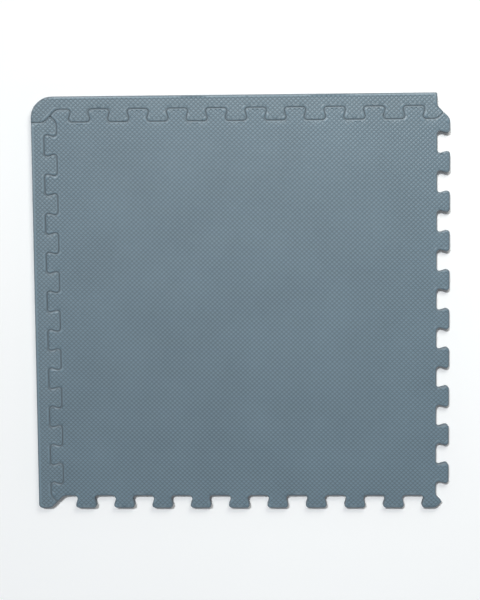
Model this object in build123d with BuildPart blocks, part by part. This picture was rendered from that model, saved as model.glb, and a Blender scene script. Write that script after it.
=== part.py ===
from build123d import *
import os

# Interlocking foam mat with two edging strips, in millimetres, +Z up.
#
# The mat is one square sheet with ten dovetail teeth and ten gaps on every side, the same
# outline on all four, so any side locks into any side of another mat. Two edging strips
# turn the back (+Y) and left (-X) sides into straight edges. The strip at the back also
# makes the rounded outer corner.
# The origin is the middle of the mat's module square, on the underside.

# Driving dimensions
MODULE = 610.0  # the square of floor that one mat adds, pitch to pitch
TEETH = 10  # teeth on each side, and as many gaps
TOOTH_DEPTH = 20.0
TOOTH_FLARE = 3.0  # how far a flank leans out from mid depth to the tooth's head
TOOTH_RADIUS = 5.0  # rounding of heads and roots
NUB_RADIUS = 12.0  # rounding where a corner tooth's slanting end begins
NUB_TIP_RADIUS = 2.0
THICKNESS = 12.0
BORDER_WIDTH = 20.0  # plain band of an edging strip, outside its teeth
BORDER_CORNER_RADIUS = 33.0
NUB_END_RADIUS = 6.0  # outer corner of a strip's end beside its nub
SQUARE_END_RADIUS = 2.5  # outer corner of a strip's other end, where nothing butts on it
SEAM_GAP = 0.4  # between two fitted pieces

# Worked out from them
PITCH = MODULE / TEETH
CENTRE = MODULE / 2  # mid depth of the teeth, and the middle of a corner square
ROOT = CENTRE - TOOTH_DEPTH / 2
HEAD = CENTRE + TOOTH_DEPTH / 2
OUTER = HEAD + BORDER_WIDTH


def back_side():
    """Corners of the mat's back side, left to right, each with its rounding.

    A tooth takes the first half of each pitch. Where four mats meet, the corner square
    between roots and heads is cut along its diagonals, one quarter to each mat, so the
    first tooth ends in a pointed nub that reaches the middle of that square.
    """
    corners = [
        ((-ROOT, ROOT), NUB_RADIUS),
        ((-CENTRE, CENTRE), NUB_TIP_RADIUS),
        ((-ROOT, HEAD), NUB_RADIUS),
    ]
    half_root = PITCH / 4 - TOOTH_FLARE
    half_head = PITCH / 4 + TOOTH_FLARE
    for tooth in range(TEETH):
        middle = -CENTRE + PITCH * (tooth + 0.25)
        if tooth > 0:
            corners.append(((middle - half_root, ROOT), TOOTH_RADIUS))
            corners.append(((middle - half_head, HEAD), TOOTH_RADIUS))
        corners.append(((middle + half_head, HEAD), TOOTH_RADIUS))
        corners.append(((middle + half_root, ROOT), TOOTH_RADIUS))
    return corners


def turned(corners, quarters):
    """The same corners after quarter turns clockwise about the origin."""
    for _ in range(quarters):
        corners = [((y, -x), radius) for (x, y), radius in corners]
    return corners


def mat_corners():
    """The mat's whole outline, its back side repeated on all four sides."""
    return [corner for quarters in range(4) for corner in turned(back_side(), quarters)]


def border_teeth():
    """An edging strip's toothed line along the back side, from the mat's first tooth to the
    strip's own pointed tooth, which fills the mat's last gap."""
    return back_side()[2:] + [
        ((ROOT, ROOT), NUB_RADIUS),
        ((CENTRE, CENTRE), NUB_TIP_RADIUS),
        ((ROOT, HEAD), NUB_RADIUS),
    ]


def corner_strip_corners():
    """The strip along the back side, with the mat's rounded outer corner at its left end."""
    return border_teeth() + [
        ((ROOT, OUTER), SQUARE_END_RADIUS),
        ((-OUTER, OUTER), BORDER_CORNER_RADIUS),
        ((-OUTER, ROOT), 0),
        ((-HEAD, ROOT), NUB_RADIUS),
    ]


def straight_strip_corners():
    """The strip along the left side, from a pointed nub at the front to a square end that
    butts against the corner strip."""
    along_back = border_teeth() + [
        ((ROOT, OUTER), 0),
        ((-HEAD, OUTER), NUB_END_RADIUS),
        ((-HEAD, HEAD), NUB_RADIUS),
        ((-CENTRE, CENTRE), NUB_TIP_RADIUS),
    ]
    return turned(along_back, 3)


def cut_line(corners):
    """The closed line that a piece is cut along, for the BuildLine in progress."""
    points = [point for point, _ in corners]
    roundings = [radius for _, radius in corners]
    FilletPolyline(*points, radius=roundings, close=True)


os.makedirs("parts", exist_ok=True)

# The mat, one solid sheet of foam
with BuildPart() as foam_mat:
    with BuildSketch():
        with BuildLine():
            cut_line(mat_corners())
        make_face()
        offset(amount=-SEAM_GAP / 2, kind=Kind.INTERSECTION)
    extrude(amount=THICKNESS)
foam_mat.part.label = "foam_mat"
export_step(foam_mat.part, "parts/foam_mat.step")

# The back edging strip, which carries the outer corner
with BuildPart() as corner_edging_strip:
    with BuildSketch():
        with BuildLine():
            cut_line(corner_strip_corners())
        make_face()
        offset(amount=-SEAM_GAP / 2, kind=Kind.INTERSECTION)
    extrude(amount=THICKNESS)
corner_edging_strip.part.label = "corner_edging_strip"
export_step(corner_edging_strip.part, "parts/corner_edging_strip.step")

# The left edging strip
with BuildPart() as straight_edging_strip:
    with BuildSketch():
        with BuildLine():
            cut_line(straight_strip_corners())
        make_face()
        offset(amount=-SEAM_GAP / 2, kind=Kind.INTERSECTION)
    extrude(amount=THICKNESS)
straight_edging_strip.part.label = "straight_edging_strip"
export_step(straight_edging_strip.part, "parts/straight_edging_strip.step")
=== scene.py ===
"""The looks of an interlocking foam blocking mat and its two edging strips, built around the
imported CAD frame. Metres, +Z up: the mat lies flat on the floor at z = 0.

Each CAD node is replaced by a mesh built on the node's own outline: an embossed working face,
a cut edge that rolls over at the top, and a plain underside."""

import math

import bmesh
import bpy
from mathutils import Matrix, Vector, noise
from mathutils.geometry import delaunay_2d_cdt
from mathutils.kdtree import KDTree


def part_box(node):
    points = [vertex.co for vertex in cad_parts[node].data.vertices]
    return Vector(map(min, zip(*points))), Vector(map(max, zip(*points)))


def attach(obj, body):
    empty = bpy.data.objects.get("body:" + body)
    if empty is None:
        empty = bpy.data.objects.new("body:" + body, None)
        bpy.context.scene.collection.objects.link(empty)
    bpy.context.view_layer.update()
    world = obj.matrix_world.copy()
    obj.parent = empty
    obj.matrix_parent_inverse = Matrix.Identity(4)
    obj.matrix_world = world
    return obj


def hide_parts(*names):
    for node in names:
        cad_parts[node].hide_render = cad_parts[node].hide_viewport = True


MM = 0.001

# Embossing of the working face: rows of small lozenges, each row half a pitch along
EMBOSS_PITCH_X = 7.2 * MM
EMBOSS_PITCH_Y = 6.8 * MM  # two rows
EMBOSS_DEPTH = 0.55 * MM
LOZENGE_HALF_LENGTH = 2.5 * MM
LOZENGE_HALF_WIDTH = 1.0 * MM
EDGE_MARGIN = 0.3 * MM  # lozenges keep this far from the rolled edge

# Edges left by the cutting die
SEAM_SWELL = 0.18 * MM  # how far each edge swells into the gap that the CAD leaves at a seam
ROLL_WIDTH = 1.3 * MM  # the working face rolls over towards the cut
ROLL_DROP = 0.9 * MM
ROLL_STEPS = 4
RIM_SINK = 0.3 * MM  # the roll starts this far below the tops of the lozenges
SHOULDER_WIDTH = 6 * MM  # the die presses the face down towards its edge
SHOULDER_DROP = 0.4 * MM
BOTTOM_ROLL = 0.4 * MM
WAIST = 0.12 * MM  # how far the cut face draws in at half height
# the edge value fades over this width; the face's material uses it both for wear that shows the core and
# for painted shade darkening the face near the cut
EDGE_WEAR_AND_SHADE_WIDTH = 5 * MM

# Unevenness of the sheet
SWELL_HEIGHT = 0.3 * MM
SWELL_LENGTH = 70 * MM
SWELL_FADE = 4  # the power of the height by which the unevenness fades down the cut edge

# How finely the meshes follow the CAD
LEVEL = 0.01 * MM  # corners this near the top of a node lie on its top face
SHORT_STEP = 2 * MM  # steps of the CAD outline shorter than this are paired up
SHARPEST = 0.5  # an outline moves in at a corner by no more than the distance over this
FINDER_STEP = 1 * MM  # between the places on an outline that distances are measured to
CHECKED_SHARES = (0.2, 0.4, 0.6, 0.8)  # where a valley is tested for leaving the outline
UNDERSIDE_GRID = 24 * MM
UNDERSIDE_MARGIN = 2 * MM  # the grid keeps this far from the underside's rim

EDGE_RELIEF = 0.35  # what the face's material takes the rolled edge for, between valley and lozenge

FACE, CUT, UNDERSIDE = range(3)  # the order of a piece's materials


# --- the outline of a CAD node, and lines parallel to it ---


def top_outline(node):
    """The outline of the node's top face, anticlockwise, as a list of (x, y)."""
    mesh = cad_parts[node].data
    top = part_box(node)[1].z
    edges = set()
    for face in mesh.polygons:
        corners = [mesh.vertices[i].co for i in face.vertices]
        if min(corner.z for corner in corners) >= top - LEVEL:
            places = [(round(corner.x, 6), round(corner.y, 6)) for corner in corners]
            edges.update(zip(places, places[1:] + places[:1]))
    # an edge inside the top face is there both ways round
    following = {here: there for here, there in edges if (there, here) not in edges}
    start = min(following)
    outline = [start]
    while following[outline[-1]] != start:
        outline.append(following[outline[-1]])
    return outline


def with_neighbours(outline):
    """Each place of the outline, with the one before it and the one after it."""
    return zip(outline[-1:] + outline[:-1], outline, outline[1:] + outline[:1])


def thinned(outline):
    """The outline without every second point of its tight round stretches."""
    kept = []
    left_out = False
    for before, here, after in with_neighbours(outline):
        steps = (math.dist(before, here), math.dist(here, after))
        left_out = not left_out and max(steps) < min(SHORT_STEP, 2 * min(steps))
        if not left_out:
            kept.append(here)
    return kept


def inset(outline, distance):
    """The outline moved inwards by distance."""
    moved = []
    for before, here, after in with_neighbours(outline):
        along_in = (Vector(here) - Vector(before)).normalized()
        along_out = (Vector(after) - Vector(here)).normalized()
        inwards = (along_in.orthogonal() + along_out.orthogonal()).normalized()
        reach = distance / max(inwards.dot(along_in.orthogonal()), SHARPEST)
        moved.append(tuple(Vector(here) + inwards * reach))
    return moved


def edge_finder(outline):
    """A function that gives a point's distance inside the outline, negative outside."""
    places = []
    inward_directions = []
    for here, there in zip(outline, outline[1:] + outline[:1]):
        run = Vector(there) - Vector(here)
        count = max(1, round(run.length / FINDER_STEP))
        for i in range(count):
            places.append(Vector(here) + run * (i + 0.5) / count)
            inward_directions.append(run.normalized().orthogonal())
    tree = KDTree(len(places))
    for i, place in enumerate(places):
        tree.insert(place.to_3d(), i)
    tree.balance()

    def distance_inside(point):
        place, i, _ = tree.find(Vector(point).to_3d())
        away = Vector(point) - place.to_2d()
        side = 1 if away.dot(inward_directions[i]) >= 0 else -1
        return side * away.length

    return distance_inside


def extent(outline):
    """The outline's left, right, front and back."""
    xs = [x for x, _ in outline]
    ys = [y for _, y in outline]
    return min(xs), max(xs), min(ys), max(ys)


# --- the mesh of a piece ---


class FoamMesh:
    """A mesh under construction, standing on the height bottom.

    Each vertex carries what the materials read: relief, 1 on a lozenge and 0 in a valley;
    edge, 1 at the cut and 0 away from it; and rolled, how far round the rolled edge it is.
    """

    def __init__(self, bottom):
        self.bottom = bottom
        self.mesh = bmesh.new()
        layers = self.mesh.verts.layers.float
        self.layers = [layers.new(name) for name in ("relief", "edge", "rolled")]

    def add(self, x, y, z, relief=0, edge=0, rolled=0):
        vertex = self.mesh.verts.new((x, y, self.bottom + z))
        for layer, value in zip(self.layers, (relief, edge, rolled)):
            vertex[layer] = value
        return vertex

    def add_face(self, vertices, material):
        face = self.mesh.faces.new(vertices)
        face.material_index = material
        face.smooth = True

    def made(self, name, materials):
        """The finished object, in the scene."""
        data = bpy.data.meshes.new(name)
        self.mesh.to_mesh(data)
        self.mesh.free()
        for material in materials:
            data.materials.append(material)
        piece = bpy.data.objects.new(name, data)
        bpy.context.scene.collection.objects.link(piece)
        return piece


def swell(x, y, seed):
    """The slow unevenness of the sheet's thickness at a place."""
    return SWELL_HEIGHT * noise.noise(Vector((x / SWELL_LENGTH, y / SWELL_LENGTH, seed)))


def lozenge_lattice(outline, shift):
    """Points and valley lines of the embossing inside the outline.

    Gives a list of (x, y, relief), relief being 1 on a lozenge and 0 in a valley, and a
    list of pairs of point numbers that a valley joins.
    """
    distance_inside = edge_finder(outline)
    left, right, front, back = extent(outline)
    points = []
    numbers = {}
    valleys = set()

    def number(row, column, dx, dy):
        """The number of the point at that place, or None outside the outline."""
        key = (row, column, dx, dy)
        if key not in numbers:
            x = shift[0] + column * EMBOSS_PITCH_X / 2 + dx
            y = shift[1] + row * EMBOSS_PITCH_Y / 2 + dy
            inside = distance_inside((x, y)) > EDGE_MARGIN
            numbers[key] = len(points) if inside else None
            if inside:
                points.append((x, y, 0 if dx == dy == 0 else 1))
        return numbers[key]

    def joinable(one, other):
        """Whether both points exist and the line between them stays inside the outline."""
        if one is None or other is None:
            return False
        start, end = Vector(points[one][:2]), Vector(points[other][:2])
        between = [start.lerp(end, share) for share in CHECKED_SHARES]
        return all(distance_inside(place) > EDGE_MARGIN / 2 for place in between)

    rows = range(
        math.floor((front - shift[1]) / EMBOSS_PITCH_Y * 2) - 1,
        math.ceil((back - shift[1]) / EMBOSS_PITCH_Y * 2) + 2,
    )
    columns = range(
        math.floor((left - shift[0]) / EMBOSS_PITCH_X * 2) - 1,
        math.ceil((right - shift[0]) / EMBOSS_PITCH_X * 2) + 2,
    )
    for row in rows:
        for column in columns:
            if (row + column) % 2:
                continue
            # a lozenge stands here, in a cell whose corners are the four places beside it
            for side in (-1, 1):
                number(row, column, side * LOZENGE_HALF_LENGTH, 0)
                number(row, column, 0, side * LOZENGE_HALF_WIDTH)
            corners = [
                number(row, column + 1, 0, 0),
                number(row + 1, column, 0, 0),
                number(row, column - 1, 0, 0),
                number(row - 1, column, 0, 0),
            ]
            for one, other in zip(corners, corners[1:] + corners[:1]):
                if joinable(one, other):
                    valleys.add((min(one, other), max(one, other)))
    return points, sorted(valleys)


def underside_points(outline):
    """A coarse grid of points in the outline."""
    distance_inside = edge_finder(outline)
    left, right, front, back = extent(outline)
    points = []
    for row in range(math.ceil((back - front) / UNDERSIDE_GRID)):
        for column in range(math.ceil((right - left) / UNDERSIDE_GRID)):
            x = left + (column + 0.5) * UNDERSIDE_GRID
            y = front + (row + 0.5) * UNDERSIDE_GRID
            if distance_inside((x, y)) > UNDERSIDE_MARGIN:
                points.append((x, y))
    return points


def filled(outline, points, lines):
    """Triangles between the outline and the points in it, which keep the given lines.

    The triangles number the outline's places first, then the points.
    """
    count = len(outline)
    places = [Vector(place) for place in outline] + [Vector(point[:2]) for point in points]
    edges = [(i, (i + 1) % count) for i in range(count)]
    edges += [(count + one, count + other) for one, other in lines]
    only_inside = 1
    tolerance = 1e-7
    _, _, triangles, origins, _, _ = delaunay_2d_cdt(places, edges, [], only_inside, tolerance)
    return [[origins[corner][0] for corner in triangle] for triangle in triangles]


def edge_profile(thickness):
    """The cut edge from the working face down to the underside: pairs of inset and height."""
    profile = []
    for step in range(ROLL_STEPS, -1, -1):
        angle = math.pi / 2 * step / ROLL_STEPS
        width = ROLL_WIDTH * (1 - math.cos(angle))
        drop = RIM_SINK + SHOULDER_DROP + ROLL_DROP * (1 - math.sin(angle))
        profile.append((width, thickness - drop))
    profile.append((WAIST, thickness * 0.5))
    profile.append((0, BOTTOM_ROLL))
    profile.append((BOTTOM_ROLL, 0))
    return [(width - SEAM_SWELL, height) for width, height in profile]


def add_cut_edge(mesh, rings, thickness, seed):
    """Adds the rolled rim and the cut below it, and gives the vertices ring by ring."""
    ring_vertices = []
    for number, (ring, height) in enumerate(rings):
        lift = (height / thickness) ** SWELL_FADE
        rolled = min(1, number / ROLL_STEPS)
        ring_vertices.append(
            [mesh.add(x, y, height + lift * swell(x, y, seed), EDGE_RELIEF, 1, rolled) for x, y in ring]
        )
    for number, (upper, lower) in enumerate(zip(ring_vertices, ring_vertices[1:])):
        material = FACE if number < ROLL_STEPS else CUT
        for i in range(len(upper)):
            j = (i + 1) % len(upper)
            mesh.add_face((upper[j], upper[i], lower[i], lower[j]), material)
    return ring_vertices


def add_working_face(mesh, rim, rim_vertices, outline, thickness, shift, seed):
    """Adds the embossed face inside the rim. shift moves the embossing across it."""
    distance_inside = edge_finder(outline)
    points, valleys = lozenge_lattice(rim, shift)
    vertices = list(rim_vertices)
    for x, y, relief in points:
        depth = distance_inside((x, y))
        edge = max(0, 1 - depth / EDGE_WEAR_AND_SHADE_WIDTH)
        shoulder = max(0, 1 - (depth - ROLL_WIDTH) / SHOULDER_WIDTH)
        z = thickness - EMBOSS_DEPTH * (1 - relief) - SHOULDER_DROP * shoulder**2 + swell(x, y, seed)
        vertices.append(mesh.add(x, y, z, relief, edge))
    for triangle in filled(rim, points, valleys):
        mesh.add_face([vertices[i] for i in triangle], FACE)


def add_underside(mesh, rim, rim_vertices):
    """Adds the plain underside inside its rim."""
    points = underside_points(rim)
    vertices = list(rim_vertices) + [mesh.add(x, y, 0) for x, y in points]
    for triangle in filled(rim, points, []):
        mesh.add_face([vertices[i] for i in reversed(triangle)], UNDERSIDE)


def foam_piece(name, node, materials, shift, seed):
    """A die-cut foam piece in the place of a CAD node: embossed face, cut edge, underside."""
    outline = thinned(top_outline(node))
    bottom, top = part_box(node)[0].z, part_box(node)[1].z
    thickness = top - bottom
    rings = [(inset(outline, distance), height) for distance, height in edge_profile(thickness)]
    mesh = FoamMesh(bottom)
    ring_vertices = add_cut_edge(mesh, rings, thickness, seed)
    add_working_face(mesh, rings[0][0], ring_vertices[0], outline, thickness, shift, seed)
    add_underside(mesh, rings[-1][0], ring_vertices[-1])
    return mesh.made(name, materials)


# --- materials ---

MIX_FACTOR, MIX_A, MIX_B, MIX_RESULT = 0, 6, 7, 2  # the Mix node's sockets for colours


class Look:
    """A Principled material under construction, with short calls for the nodes it needs."""

    def __init__(self, name, specular):
        self.material = bpy.data.materials.new(name)
        self.material.use_nodes = True
        self.nodes = self.material.node_tree.nodes
        self.shader = self.nodes["Principled BSDF"]
        self.shader.inputs["Specular IOR Level"].default_value = specular
        self.place = self.nodes.new("ShaderNodeTexCoord").outputs["Object"]

    def link(self, output, target):
        self.material.node_tree.links.new(output, target)

    def stretched(self, x, y, z):
        """The place on the piece, with each direction scaled."""
        mapping = self.nodes.new("ShaderNodeMapping")
        mapping.inputs["Scale"].default_value = (x, y, z)
        self.link(self.place, mapping.inputs["Vector"])
        return mapping.outputs["Vector"]

    def noise(self, size, detail=2, place=None):
        """Noise from 0 to 1 with blotches of that size in metres."""
        texture = self.nodes.new("ShaderNodeTexNoise")
        texture.inputs["Scale"].default_value = 1 / size
        texture.inputs["Detail"].default_value = detail
        self.link(place or self.place, texture.inputs["Vector"])
        return texture.outputs["Fac"]

    def cells(self, size):
        """Distance from the middle of the nearest foam cell."""
        texture = self.nodes.new("ShaderNodeTexVoronoi")
        texture.inputs["Scale"].default_value = 1 / size
        self.link(self.place, texture.inputs["Vector"])
        return texture.outputs["Distance"]

    def attribute(self, name):
        """A value that the mesh carries at its vertices."""
        node = self.nodes.new("ShaderNodeAttribute")
        node.attribute_name = name
        return node.outputs["Fac"]

    def weighted(self, start, *terms):
        """start plus the sum of each (output, weight)."""
        total = start
        for output, weight in terms:
            step = self.nodes.new("ShaderNodeMath")
            step.operation = "MULTIPLY_ADD"
            self.link(output, step.inputs[0])
            step.inputs[1].default_value = weight
            if isinstance(total, (int, float)):
                step.inputs[2].default_value = total
            else:
                self.link(total, step.inputs[2])
            total = step.outputs["Value"]
        return total

    def ramp(self, share, *stops):
        """The colour along the stops (position, colour) at share."""
        ramp = self.nodes.new("ShaderNodeValToRGB")
        elements = ramp.color_ramp.elements
        while len(elements) < len(stops):
            elements.new(0.5)
        for element, (position, colour) in zip(elements, stops):
            element.position = position
            element.color = (*colour, 1)
        self.link(share, ramp.inputs["Fac"])
        return ramp.outputs["Color"]

    def mixed(self, share, one, other):
        """One colour where share is 0, the other where it is 1."""
        mix = self.nodes.new("ShaderNodeMix")
        mix.data_type = "RGBA"
        self.link(share, mix.inputs[MIX_FACTOR])
        self.link(one, mix.inputs[MIX_A])
        self.link(other, mix.inputs[MIX_B])
        return mix.outputs[MIX_RESULT]

    def between(self, value, low, high):
        """0 where the value is low or less, 1 where it is high or more."""
        node = self.nodes.new("ShaderNodeMapRange")
        node.interpolation_type = "SMOOTHSTEP"
        self.link(value, node.inputs["Value"])
        node.inputs["From Min"].default_value = low
        node.inputs["From Max"].default_value = high
        return node.outputs["Result"]

    def colour(self, colour):
        self.link(colour, self.shader.inputs["Base Color"])

    def roughness(self, share):
        self.link(share, self.shader.inputs["Roughness"])

    def bump(self, height, distance):
        """Adds a bump of that height in metres to the ones already there."""
        bump = self.nodes.new("ShaderNodeBump")
        bump.inputs["Distance"].default_value = distance
        self.link(height, bump.inputs["Height"])
        normal = self.shader.inputs["Normal"]
        if normal.is_linked:
            self.link(normal.links[0].from_socket, bump.inputs["Normal"])
        self.link(bump.outputs["Normal"], normal)


def shaded(colour, factor):
    """The colour made darker or paler."""
    return tuple(channel * factor for channel in colour)


def face_look(name, skin, core):
    """The embossed working face: a satin skin, mottled, glossier on the lozenges, with painted light
    paling the lozenge tops and painted shade darkening the valleys and the face near the cut, and the
    core showing where the edge rolls over, with painted shade darkening it deeper round the roll."""
    look = Look(name, specular=0.7)
    mottle = look.noise(90 * MM, detail=3)
    speckle = look.noise(1.6 * MM)
    grain = look.noise(0.9 * MM, detail=3)
    blotches = look.noise(6 * MM)
    relief = look.attribute("relief")
    edge = look.attribute("edge")
    rolled = look.attribute("rolled")

    # painted light and shade: the relief weight pales the lozenge tops and darkens the valleys, and the
    # edge weight darkens the face near the cut; the mottle and speckle are the skin's own tone
    skin_tone_with_painted_shade = look.weighted(-0.2, (mottle, 0.32), (speckle, 0.3), (relief, 0.72), (edge, -0.05))
    skin_colour_with_painted_shade = look.ramp(skin_tone_with_painted_shade, (0.0, shaded(skin, 0.55)), (0.5, skin), (1.0, shaded(skin, 1.4)))
    # painted shade: the core darkens the further it lies round the roll, down into the seam groove; the
    # speckle is the core's own tone
    core_tone_and_roll_shade = look.weighted(0.5, (speckle, 0.5), (rolled, -0.5))
    core_colour_with_painted_roll_shade = look.ramp(core_tone_and_roll_shade, (0.1, shaded(core, 0.7)), (0.6, shaded(core, 1.1)))
    wear = look.weighted(-0.3, (rolled, 1.0), (edge, 0.2), (blotches, 0.2))
    look.colour(look.mixed(look.between(wear, 0.0, 0.4), skin_colour_with_painted_shade, core_colour_with_painted_roll_shade))
    look.roughness(look.weighted(0.48, (speckle, 0.16), (relief, -0.12)))
    look.bump(grain, 0.12 * MM)
    return look.material


def cut_look(name, core):
    """The die-cut edge: open cells, faint upright drag lines, greyer than the skin."""
    look = Look(name, specular=0.25)
    cells = look.cells(0.8 * MM)
    drag = look.noise(1.2 * MM, place=look.stretched(1, 1, 0.08))
    mottle = look.noise(30 * MM)
    share = look.weighted(0.0, (cells, 0.45), (drag, 0.5), (mottle, 0.2))
    look.colour(look.ramp(share, (0.1, shaded(core, 0.75)), (0.5, core), (0.9, shaded(core, 1.25))))
    look.roughness(look.weighted(0.75, (drag, 0.15)))
    look.bump(cells, 0.15 * MM)
    look.bump(drag, 0.1 * MM)
    return look.material


def underside_look(name, skin):
    """The skin on the underside: closed, with the linen grain of the mould."""
    look = Look(name, specular=0.35)
    warp = look.noise(2.2 * MM, place=look.stretched(1, 0.1, 1))
    weft = look.noise(2.2 * MM, place=look.stretched(0.1, 1, 1))
    scuffs = look.noise(25 * MM, detail=4)
    mottle = look.noise(120 * MM, detail=3)
    share = look.weighted(-0.75, (mottle, 0.5), (warp, 0.75), (weft, 0.75), (scuffs, 0.5))
    look.colour(look.ramp(share, (0.0, shaded(skin, 0.72)), (0.5, skin), (1.0, shaded(skin, 1.25))))
    look.roughness(look.weighted(0.42, (warp, 0.1), (weft, 0.1), (scuffs, 0.15)))
    look.bump(warp, 0.45 * MM)
    look.bump(weft, 0.45 * MM)
    return look.material


def foam_looks(name, skin, core):
    """The three materials of a foam piece, in the order FACE, CUT, UNDERSIDE."""
    return [
        face_look(name + "_face", skin, core),
        cut_look(name + "_cut", core),
        underside_look(name + "_underside", skin),
    ]


# --- camera, floor and light ---

CAMERA_LENS = 76.5  # millimetres
CAMERA_PLACE = (0.053, 0.181, 2.0)
CAMERA_TURN = (-0.0829, 0.0317, -0.0085)  # nearly straight down
CAMERA_REACH = 60  # past the far edge of the floor

FLOOR_HALF = 40  # half the side of the square
FLOOR_DROP = 0.05 * MM  # keeps the floor clear of the undersides
FLOOR_GLOW = 0.06  # keeps the floor nearly white where the light falls off
FLOOR_GREYS = ((0.94, 0.94, 0.94), (0.96, 0.96, 0.96))
FLOOR_BLOTCHES = 0.8
FLOOR_GRAIN = 0.1

SUN_PLACE = (-0.6, 1.1, 2.5)
SUN_TARGET = (0, 0, 0)
SUN_ENERGY = 2.05
SUN_ANGLE = math.radians(7)
SUN_COLOUR = (0.95, 0.98, 1.0)

SOFTBOX_PLACE = (0.45, 1.05, 1.25)
SOFTBOX_TARGET = (0.2, 0.3, 0)
SOFTBOX_ENERGY = 10
SOFTBOX_SIZE = 0.6
SOFTBOX_COLOUR = (1.0, 1.0, 0.94)

WALL_TOP = 0.3  # sine of the height above the horizon
WALL_FADE = 0.1  # half the height of the soft step from wall to ceiling
WALL_COLOUR = (0.66, 0.69, 0.71)
CEILING_COLOUR = (0.12, 0.124, 0.133)


def make_camera():
    """The camera, at the photo's angle."""
    camera = bpy.data.cameras.new("camera")
    camera.lens = CAMERA_LENS
    camera.clip_end = CAMERA_REACH
    holder = bpy.data.objects.new("camera", camera)
    holder.location = CAMERA_PLACE
    holder.rotation_euler = CAMERA_TURN
    bpy.context.scene.collection.objects.link(holder)
    bpy.context.scene.camera = holder


def floor_look():
    """A plain matt floor, nearly white, with faint blotches."""
    look = Look("pale_floor", specular=0.1)
    darker, paler = FLOOR_GREYS
    look.colour(look.ramp(look.noise(FLOOR_BLOTCHES), (0.3, darker), (0.7, paler)))
    look.roughness(look.weighted(0.8, (look.noise(FLOOR_GRAIN), 0.1)))
    look.shader.inputs["Emission Color"].default_value = (1, 1, 1, 1)
    look.shader.inputs["Emission Strength"].default_value = FLOOR_GLOW
    return look.material


def make_floor():
    """The floor, just below the undersides."""
    half = FLOOR_HALF
    data = bpy.data.meshes.new("floor")
    corners = [(-half, -half, 0), (half, -half, 0), (half, half, 0), (-half, half, 0)]
    data.from_pydata(corners, [], [(0, 1, 2, 3)])
    data.materials.append(floor_look())
    floor = bpy.data.objects.new("floor", data)
    floor.location.z = -FLOOR_DROP
    bpy.context.scene.collection.objects.link(floor)


def hang(light, place, target):
    """Puts the light in that place, pointing at the target."""
    holder = bpy.data.objects.new(light.name, light)
    holder.location = place
    holder.rotation_euler = (Vector(target) - Vector(place)).to_track_quat("-Z", "Y").to_euler()
    bpy.context.scene.collection.objects.link(holder)


def make_lights():
    """Even light from high at the back left, and a softbox nearer the back edge."""
    sun = bpy.data.lights.new("key", "SUN")
    sun.energy = SUN_ENERGY
    sun.angle = SUN_ANGLE
    sun.color = SUN_COLOUR
    hang(sun, SUN_PLACE, SUN_TARGET)
    softbox = bpy.data.lights.new("softbox", "AREA")
    softbox.size = SOFTBOX_SIZE
    softbox.energy = SOFTBOX_ENERGY
    softbox.color = SOFTBOX_COLOUR
    hang(softbox, SOFTBOX_PLACE, SOFTBOX_TARGET)


def make_studio_walls():
    """A dim room overhead with pale walls, which the floor meets at the horizon."""
    world = bpy.data.worlds.new("studio")
    world.use_nodes = True
    nodes = world.node_tree.nodes
    direction = nodes.new("ShaderNodeTexCoord")
    height = nodes.new("ShaderNodeSeparateXYZ")
    ramp = nodes.new("ShaderNodeValToRGB")
    wall, ceiling = ramp.color_ramp.elements
    wall.position = WALL_TOP - WALL_FADE
    wall.color = (*WALL_COLOUR, 1)
    ceiling.position = WALL_TOP + WALL_FADE
    ceiling.color = (*CEILING_COLOUR, 1)
    links = world.node_tree.links
    links.new(direction.outputs["Generated"], height.inputs["Vector"])
    links.new(height.outputs["Z"], ramp.inputs["Fac"])
    links.new(ramp.outputs["Color"], nodes["Background"].inputs["Color"])
    bpy.context.scene.world = world


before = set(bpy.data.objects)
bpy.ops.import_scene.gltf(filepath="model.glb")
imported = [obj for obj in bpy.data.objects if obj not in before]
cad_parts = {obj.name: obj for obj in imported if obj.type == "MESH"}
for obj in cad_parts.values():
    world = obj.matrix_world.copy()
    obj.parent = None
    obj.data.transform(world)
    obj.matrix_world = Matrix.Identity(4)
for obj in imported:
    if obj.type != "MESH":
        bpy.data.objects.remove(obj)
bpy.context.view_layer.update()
bpy.context.scene.view_settings.view_transform = "Standard"
make_camera()
make_floor()
make_lights()
make_studio_walls()

# --- the three pieces ---

MAT_SKIN = (0.123, 0.18, 0.22)
STRIP_SKIN = (0.129, 0.185, 0.223)
CORE = (0.135, 0.172, 0.2)


def dress(node, name, body, materials, shift, seed):
    """Replaces a CAD node with its foam piece, which rides on the body."""
    piece = foam_piece(name, node, materials, shift, seed)
    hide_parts(node)
    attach(piece, body)


mat_looks = foam_looks("mat_foam", MAT_SKIN, CORE)
strip_looks = foam_looks("edging_foam", STRIP_SKIN, CORE)
dress(
    "foam_mat",
    name="embossed_mat",
    body="mat",
    materials=mat_looks,
    shift=(0, 0),
    seed=0.5,
)
dress(
    "corner_edging_strip",
    name="embossed_corner_strip",
    body="corner_strip",
    materials=strip_looks,
    shift=(2 * MM, 1 * MM),
    seed=1.5,
)
dress(
    "straight_edging_strip",
    name="embossed_straight_strip",
    body="straight_strip",
    materials=strip_looks,
    shift=(1 * MM, 3 * MM),
    seed=2.5,
)
